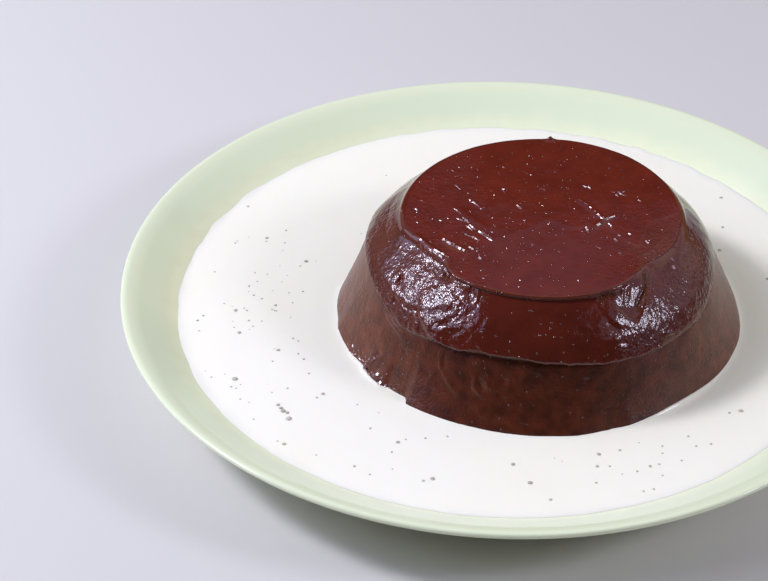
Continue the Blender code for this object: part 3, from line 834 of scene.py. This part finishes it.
# %% Where the burrs are
# both ends of a burr, x and y from the marquise's axis, and its width, in mm
BURRS = [
    (-25.1, 8.0, -22.6, 4.6, 0.8), (-23.6, 6.4, -21.6, 3.4, 0.6), (-21.0, 2.2, -19.8, 3.4, 0.7),
    (-30.6, 2.6, -29.4, 1.2, 0.6), (-29.2, 0.8, -28.0, -0.8, 0.7), (-30.2, -3.4, -26.4, -5.8, 0.7),
    (-27.6, -2.9, -25.6, -6.4, 0.6), (-26.6, -7.6, -24.4, -11.2, 0.6), (-25.4, -7.2, -23.4, -10.6, 0.5),
    (-22.6, -11.2, -18.2, -17.0, 0.8), (-21.4, -11.4, -18.4, -15.2, 0.5), (-27.6, -12.6, -24.0, -15.4, 0.6),
    (-24.8, -14.2, -22.4, -17.0, 0.5), (-34.8, -16.4, -32.4, -19.4, 1.2), (-32.8, -19.2, -29.6, -21.6, 1.2),
    (-30.2, -21.4, -27.6, -23.0, 1.0), (-26.2, -20.4, -24.4, -22.4, 0.8), (-23.8, -21.0, -23.0, -21.6, 0.6),
    (-23.0, -26.4, -22.2, -27.6, 0.8), (-8.6, 4.4, -7.4, 2.2, 0.9), (-7.8, -4.6, -6.2, -4.9, 0.6),
    (-12.6, 29.2, -12.0, 28.4, 0.6), (-13.4, 14.4, -12.4, 12.4, 0.5), (-13.8, 14.8, -11.8, 14.4, 0.5),
    (-5.4, 26.2, -2.6, 23.6, 0.4), (-29.8, 17.8, -27.8, 14.4, 0.5), (0.2, 15.4, 1.8, 14.0, 0.5),
    (-0.6, 14.2, 0.6, 15.2, 0.5), (14.6, 16.8, 16.4, 16.0, 0.6), (16.6, 16.6, 17.4, 15.2, 0.5),
    (13.2, 8.0, 14.4, 6.6, 0.5), (14.8, 5.8, 15.8, 4.6, 0.6), (16.2, 3.6, 17.0, 2.4, 0.6),
    (17.6, 1.4, 18.2, 0.4, 0.6), (18.6, -0.8, 20.4, -4.6, 0.6), (17.2, -8.9, 20.6, -5.6, 1.1),
    (20.8, -5.0, 24.6, -2.2, 1.0), (20.6, -3.4, 21.2, -8.2, 0.7), (22.0, -6.2, 23.2, -9.8, 0.6),
    (14.2, -8.6, 14.8, -12.2, 0.9), (12.0, -10.0, 12.8, -9.4, 0.5), (6.0, -9.8, 7.0, -10.2, 0.5),
    (29.0, 10.6, 27.0, 12.8, 0.8), (24.6, 13.0, 26.4, 12.4, 0.7), (27.4, 12.6, 29.6, 13.2, 0.6),
    (27.2, 12.0, 30.0, 10.4, 0.7), (26.2, 11.6, 26.8, 9.8, 0.5), (33.6, 8.2, 34.4, 6.4, 0.5),
    (24.4, -13.2, 25.6, -14.4, 0.8), (23.4, -15.4, 24.0, -17.0, 0.6), (28.2, -12.6, 29.0, -13.4, 0.6),
    (28.2, -17.4, 27.6, -18.8, 0.7), (24.0, -23.4, 25.6, -25.6, 1.0), (16.4, -19.6, 18.2, -21.0, 0.6),
    (12.6, -16.2, 14.2, -17.4, 0.5), (20.4, -24.2, 21.4, -25.0, 0.5), (3.6, -22.2, 4.2, -23.0, 0.5),
    (33.4, -16.0, 34.6, -17.6, 0.7), (35.8, -21.0, 36.6, -22.4, 0.7), (41.4, -24.2, 42.4, -25.8, 0.7),
    (41.6, -28.6, 42.0, -30.2, 0.6), (-41.8, 7.8, -41.2, 7.0, 0.5), (-34.2, 10.4, -33.6, 9.6, 0.5),
    (-43.8, 2.4, -43.2, 1.4, 0.6), (-35.8, -4.4, -35.0, -5.2, 0.6), (-28.2, 29.0, -27.6, 28.2, 0.5),
    (-30.6, 27.2, -30.0, 26.2, 0.5), (-42.6, -15.6, -40.4, -19.0, 0.5), (-38.0, -22.4, -33.4, -26.6, 0.6),
]
SCATTERED = 300  # tries; the front left keeps all of its grains and the rest of the disc about a third
random.seed(11)
for _ in range(SCATTERED):
    turn_by, out = random.uniform(0, 2 * math.pi), 45 * math.sqrt(random.random())
    at_x, at_y = out * math.cos(turn_by), out * math.sin(turn_by)
    if random.random() < 0.35 + 0.65 * (at_x < 0) * (at_y < 5):
        grain_size = random.uniform(0.25, 0.6)
        up_or_down = -1 if random.random() < 0.7 else 1
        BURRS.append((at_x, at_y, at_x + grain_size * 0.8, at_y + up_or_down * grain_size * 0.8,
                      random.uniform(0.26, 0.45)))
print("burrs and grains:", len(BURRS))

# %% [markdown]
# ## Flakes and crumbs
#
# Crumbs broke off the foot where the custard chipped it, at the left, and they are the same small blocks. A face
# glints when it lies half way between the camera and a light, so two directions are enough: one for the light
# at the left, which the crumbs take too, and one for the light at the right, each flake a few degrees off it.
# Where the knife tore it the chocolate is a little rougher, so the flakes take a copy of the glossy material
# with a roughness of its own. All are joined into one piece.

# %% Flakes and crumbs
LEFT_GLINT, RIGHT_GLINT = (227, 39), (306, 50)  # direction and tilt of a face that mirrors a light to the front
STROKE_PIECE = 1.4  # mm of a stroke to each flake
CRUMBS = 110
FOOT_DRAWS_IN = 0.56  # mm that the foot draws in for each mm up
CRUMB_SUNK = 0.08  # mm
disc_points = moved[on_disc][:, :2] - np.array(PLACE)[:2]
disc_heights = moved[on_disc][:, 2]


def add_flake(bm, middle, stroke, length, width, height, loose):
    """A bevelled block along the stroke, tilted to the front left or right, whichever the stroke lies square to."""
    turn_to, tilt = LEFT_GLINT if stroke.x * stroke.y < 0 else RIGHT_GLINT
    turn_to = math.radians(random.gauss(turn_to, 5.5 * loose))
    tilt = math.radians(random.gauss(tilt, 3.5 * loose))
    facing = Vector((math.cos(turn_to) * math.sin(tilt), math.sin(turn_to) * math.sin(tilt), math.cos(tilt)))
    along_it = (stroke - stroke.project(facing)).normalized()
    made = bmesh.ops.create_cube(bm, size=1)["verts"]
    bmesh.ops.scale(bm, verts=made, vec=(length, 1.6 * width, 0.5 * width))
    edges = list({edge for vert in made for edge in vert.link_edges})
    rounded = bmesh.ops.bevel(bm, geom=edges, offset=0.16 * width, offset_type="OFFSET", segments=1, profile=0.5,
                              affect="EDGES", material=-1, clamp_overlap=True)
    made = list({vert for face in rounded["faces"] for vert in face.verts})
    bmesh.ops.rotate(bm, verts=made, matrix=Matrix((along_it, facing.cross(along_it), facing)).transposed())
    foot = Vector((PLACE.x + middle[0] * MM, PLACE.y + middle[1] * MM, height))
    bmesh.ops.translate(bm, verts=made, vec=foot + facing * -0.12 * width)


burr_mesh = bmesh.new()
flakes = 0
for start_x, start_y, end_x, end_y, width in BURRS:
    start = Vector((start_x, start_y, 0))
    stroke = Vector((end_x, end_y, 0)) - start
    pieces = max(1, round(stroke.length / STROKE_PIECE))
    for i in range(pieces):
        middle = start + stroke * (i + random.uniform(0.3, 0.7)) / pieces
        length = stroke.length / pieces * random.uniform(0.6, 1.1) + 0.2 * width
        nearest = np.argmin(np.hypot(disc_points[:, 0] - middle.x * MM, disc_points[:, 1] - middle.y * MM))
        add_flake(burr_mesh, middle, stroke, length * MM, width * random.uniform(0.45, 1.0) * MM,
                  disc_heights[nearest], 1.0 if stroke.length > 0.9 else 1.5)
        flakes += 1
for _ in range(CRUMBS):
    at, up = random.gauss(211, 6.0), abs(random.gauss(0, 2.4))
    out = table(at, *FOOT_OUTLINE) - FOOT_DRAWS_IN * up - CRUMB_SUNK
    middle = Vector((out * math.cos(math.radians(at)), out * math.sin(math.radians(at)), 0))
    stroke = Vector((random.uniform(0.2, 1), random.uniform(-1, -0.2), 0))
    size = random.uniform(0.4, 1.3)
    add_flake(burr_mesh, middle, stroke, size * MM, size * 0.7 * MM, CUSTARD_LEVEL + up * MM, 1.2)
    flakes += 1
print("flakes:", flakes, "faces:", len(burr_mesh.faces))
torn_chocolate = glossy.copy()
torn_chocolate.name = "torn_dark_chocolate"
tree, shader = torn_chocolate.node_tree, torn_chocolate.node_tree.nodes["Principled BSDF"]
tree.links.remove(shader.inputs["Roughness"].links[0])
fill(tree, shader, Roughness=0.2)
burrs = finish_piece(burr_mesh, "knife_burrs", torn_chocolate)
burrs.data.shade_flat()

# %% [markdown]
# ## The custard
#
# Pouring custard found its own level round the marquise, so its top is flat but for two edges. It climbs a
# little where it wets the chocolate, most at the front right and at the chipped front left, and it thins to a
# feather where it meets the sloping rim. The shape is a ring between two outlines, the marquise's foot and the
# shore on the plate. One closed profile is spun, and every point then slides to its share of the way from the
# inner outline to the outer. The shares are closest together at the two edges, where the top bends.

# %% Custard shape
RING_STEPS = 420
TUCK = 0.9 * MM  # the custard's inner edge hides this far inside the chocolate
CLIMB = 0.35 * MM  # height of the wetted edge on the chocolate
CLIMB_WIDTH = 0.9 * MM

top_shares = [0, 0.01, 0.018, 0.023, 0.028, 0.034, 0.042, 0.055, 0.075, 0.1, 0.14]
top_shares += [0.14 + 0.76 * i / 24 for i in range(1, 25)]
top_shares += [0.92, 0.935, 0.95, 0.962, 0.973, 0.983, 0.991, 0.997, 1.0]
bottom_shares = [1.0, 0.97, 0.94, 0.9, 0.8, 0.6, 0.3, 0]

ring_mesh = bmesh.new()
ring_profile = [(1 + share, 1.0) for share in top_shares] + [(1 + share, 0.0) for share in bottom_shares]
spin_profile(ring_mesh, ring_profile, RING_STEPS, closed=True)
spun = np.array([vert.co for vert in ring_mesh.verts])
turn = np.arctan2(spun[:, 1], spun[:, 0])
degrees = np.degrees(turn) % 360
share = np.hypot(spun[:, 0], spun[:, 1]) - 1
foot_line = table(degrees, *FOOT_OUTLINE) * MM - TUCK
wobble = noise_at(np.cos(turn) * 0.1, np.sin(turn) * 0.1, turn * 0, 9, 5.5)
ripple = noise_at(np.cos(turn) * 0.1, np.sin(turn) * 0.1, turn * 0, 3, 8.5)
shore_line = SHORE_RADIUS + (wobble * 0.6 + ripple * 0.12) * MM
inner = np.stack([PLACE.x + foot_line * np.cos(turn), PLACE.y + foot_line * np.sin(turn)], axis=1)
outer = np.stack([shore_line * np.cos(turn), shore_line * np.sin(turn)], axis=1)
flat = inner + (outer - inner) * share[:, None]
width = np.linalg.norm(outer - inner, axis=1)
from_chocolate, from_shore = share * width, (1 - share) * width
plate_under = plate_height(np.hypot(flat[:, 0], flat[:, 1]))
swell = noise_at(flat[:, 0], flat[:, 1], flat[:, 0] * 0, 18, 61.3) * 0.07 * MM
climb = CLIMB + MM * (0.6 * bump(degrees, 211, 8) + 1.0 * bump(degrees, 307, 13))
level = CUSTARD_LEVEL + swell + climb * np.exp(-np.maximum(from_chocolate - TUCK, 0) / CLIMB_WIDTH)
feather = np.exp(-((from_shore / (2.2 * MM)) ** 2))
shore_top = plate_height(shore_line) + 0.06 * MM
top = level * (1 - feather) + shore_top * feather
is_top = spun[:, 2] > 0.5
z = np.where(is_top, np.maximum(top, plate_under + 0.05 * MM), plate_under + 0.02 * MM)
z = np.where(~is_top & (share < 0.01), WELL_HEIGHT + 0.02 * MM, z)
set_points(ring_mesh, flat[:, 0], flat[:, 1], z)
print("custard's top from", round(z[is_top].min() / MM, 1), "to", round(z[is_top].max() / MM, 1), "mm")

# %% [markdown]
# ## Pouring custard
#
# Milk, cream, sugar and yolk, cooked until it coats a spoon: off-white and opaque. Light enters it and comes
# out a millimetre or two away, which softens every shadow on it, so the shader scatters under the surface. The
# surface itself is only softly glossy.

# %% Custard material
custard, tree, shader = new_material("pouring_custard")
place = add_node(tree, "TexCoord").outputs["Object"]
tone = mottled(tree, place, 30 * MM, 3.0, "#FDFAE9", "#FAF5E0")
fill(tree, shader, Base_Color=tone, Roughness=0.16, IOR=1.36, Subsurface_Weight=0.35,
     Subsurface_Radius=(1.0, 0.85, 0.7), Subsurface_Scale=1.8 * MM)
finish_piece(ring_mesh, "custard_pool", custard, "custard_sauce")

# %% [markdown]
# ## Bubbles
#
# Whisking left air in the custard. Most bubbles are under a millimetre across and lie in loose drifts, above
# all on the left, where the custard was poured. Each is a low dome of a few dozen faces, half sunk. All of
# them are joined into one piece, because a separate object for each would be more than a hundred objects.

# %% Bubbles
# centres of the bubbles that stand out (x, y) and the radius of the largest, in mm from the plate's centre
BUBBLES = [
    (-94, 59), (-79, 43), (-86, 38), (-73, 20), (-89, 2), (-86, 0), (-81, -4), (-91, -7), (-108, -13), (-107, -19),
    (-90, -13), (-93, -20), (-79, -30), (-72, -32), (-70, -35), (-68, -43), (-104, -42), (-101, -45), (-97, -56),
    (-65, -56), (-47, -72), (-38, -79), (-40, -84), (-52, -91), (-47, -95), (-30, -98), (10, -107),
    (27, -85), (34, -83), (30, -91), (26, -91), (25, -99), (43, -102), (46, -90), (43, -91), (48, -81), (57, -76),
    (59, -81), (72, -64), (-1, -90), (86, 65), (84, 45), (81, 30), (96, 12),
]
LARGE_BUBBLES = [((-71, 23), 0.8), ((-95, -7), 0.7), ((-93, -46), 1.1), ((-63, -54), 0.75), ((-76, -63), 0.9),
                 ((-74, -67), 1.1), ((-77.8, -59.8), 0.7), ((-76.7, -61.5), 0.75),
                 ((-74.6, -63.9), 0.7), ((-75, -80), 0.8), ((-27, -97), 0.8), ((4, -99), 0.9), ((76, -63), 0.9)]
# centre of a drift of finer ones (x, y), its spread (x, y) and how many it has
DRIFTS = [
    ((-86, -5), (10, 16), 22),
    ((-78, 25), (10, 18), 9),
    ((-88, -45), (10, 16), 12),
    ((-50, -75), (16, 10), 8),
    ((35, -90), (14, 8), 10),
    ((0, 0), (75, 75), 24),
]
SHORE_CLEAR, AXIS_CLEAR = 4 * MM, 74.5 * MM  # least distance from the shore and from the marquise's axis
random.seed(7)
bubbles = [(Vector((px * MM, py * MM)), random.choice((0.42, 0.5, 0.6, 0.72)) * MM) for px, py in BUBBLES]
bubbles += [(Vector((px * MM, py * MM)), size * MM) for (px, py), size in LARGE_BUBBLES]
for (cx, cy), (sx, sy), count in DRIFTS:
    for _ in range(count):
        spot = Vector((random.gauss(cx, sx) * MM, random.gauss(cy, sy) * MM))
        bubbles.append((spot, random.choice((0.26, 0.32, 0.38, 0.44)) * MM))
bubble_mesh = bmesh.new()
for spot, size in bubbles:
    if spot.length > SHORE_RADIUS - SHORE_CLEAR or (spot - PLACE.xy).length < AXIS_CLEAR:
        continue
    made = bmesh.ops.create_uvsphere(bubble_mesh, u_segments=8, v_segments=6, radius=size)["verts"]
    bmesh.ops.scale(bubble_mesh, verts=made, vec=(1, random.uniform(0.8, 1.1), 0.45))
    bmesh.ops.translate(bubble_mesh, verts=made, vec=(*spot, CUSTARD_LEVEL))
print("bubbles:", len(bubbles), "faces:", len(bubble_mesh.faces))

# %% [markdown]
# ## Bubble film and its painted shade
#
# A bubble's film is clear, and the hollow under it is shaded. The hollow isn't modelled: each dome is painted
# grey-brown as painted shade for it, with a wet top.

# %% Bubble material
film, tree, shader = new_material("custard_bubble_painted_shade")
place = add_node(tree, "TexCoord").outputs["Object"]
# painted shade: the grey-brown stands for the shaded hollow under each bubble
tone = mottled(tree, place, 6 * MM, 1.0, "#D6D0C2", "#A39C8C")
fill(tree, shader, Base_Color=tone, Roughness=0.3, IOR=1.2)
finish_piece(bubble_mesh, "custard_bubbles", film)

# %% [markdown]
# ## The table and the lights
#
# The floor is a plain pale sheet. At the left a small bright window stands before a large faint wall: the window
# gives the glints and the wall the violet shine round them, and together they are the bright patch on the dome.
# A weaker pair at the right makes the second patch. Two low wide lights, one at each side, are the rest of the
# room and lift the foot. A cool light stands high behind the dish, with its lower edge just where the leaning
# front of the disc mirrors it and the level back doesn't, and a greenish one above evens out the custard. The
# side of the camera stays dark, which keeps the front of the chocolate deep.

# %% Floor and lights
floor_mesh = bmesh.new()
bmesh.ops.create_grid(floor_mesh, x_segments=1, y_segments=1, size=4)
floor_data = bpy.data.meshes.new("floor")
floor_mesh.to_mesh(floor_data)
floor_mesh.free()
floor = bpy.data.objects.new("floor", floor_data)
bpy.context.collection.objects.link(floor)
paper, tree, shader = new_material("pale_floor_paper")
fill(tree, shader, Base_Color=linear("#D2D0CB"), Roughness=0.8)
floor_data.materials.append(paper)


def softbox(name, azimuth, elevation, distance, size, brightness, colour):
    """An area light aimed at the marquise. Brightness is that of its face, where 1 shows as white."""
    a, e = math.radians(azimuth), math.radians(elevation)
    outward = Vector((math.cos(a) * math.cos(e), math.sin(a) * math.cos(e), math.sin(e)))
    data = bpy.data.lights.new(name, "AREA")
    data.shape = "RECTANGLE"
    data.size, data.size_y = size
    data.energy = brightness * math.pi * size[0] * size[1]
    data.color = linear(colour)[:3]
    light = bpy.data.objects.new(name, data)
    light.location = PLACE + outward * distance
    light.rotation_mode = "QUATERNION"
    light.rotation_quaternion = (-outward).to_track_quat("-Z", "Y")
    bpy.context.collection.objects.link(light)
    return light


softbox("window_left", 176, 44, 1.2, (0.22, 0.22), 66, "#F2F0FF")
softbox("wall_left", 177, 40, 1.25, (1.1, 0.85), 2.8, "#C6CEFF")
softbox("room_left", 158, 25, 1.6, (2.4, 1.2), 0.36, "#FFF2E0")
softbox("window_right", -20, 33, 1.2, (0.26, 0.26), 22, "#EAEAFF")
softbox("wall_right", 0, 36, 1.25, (1.9, 1.2), 0.62, "#E6DFFF")
softbox("room_right", 40, 20, 1.6, (1.6, 0.9), 0.44, "#FFD29C")
softbox("sky_behind", 88, 55, 1.4, (1.5, 0.95), 0.32, "#A8C6FF")
softbox("ceiling", 90, 69, 1.4, (2.0, 1.0), 0.36, "#FAFFB4")
world = bpy.data.worlds.new("dim_room")
world.use_nodes = True
world.node_tree.nodes["Background"].inputs["Color"].default_value = linear("#FFFFFF")
world.node_tree.nodes["Background"].inputs["Strength"].default_value = 0.03
bpy.context.scene.world = world
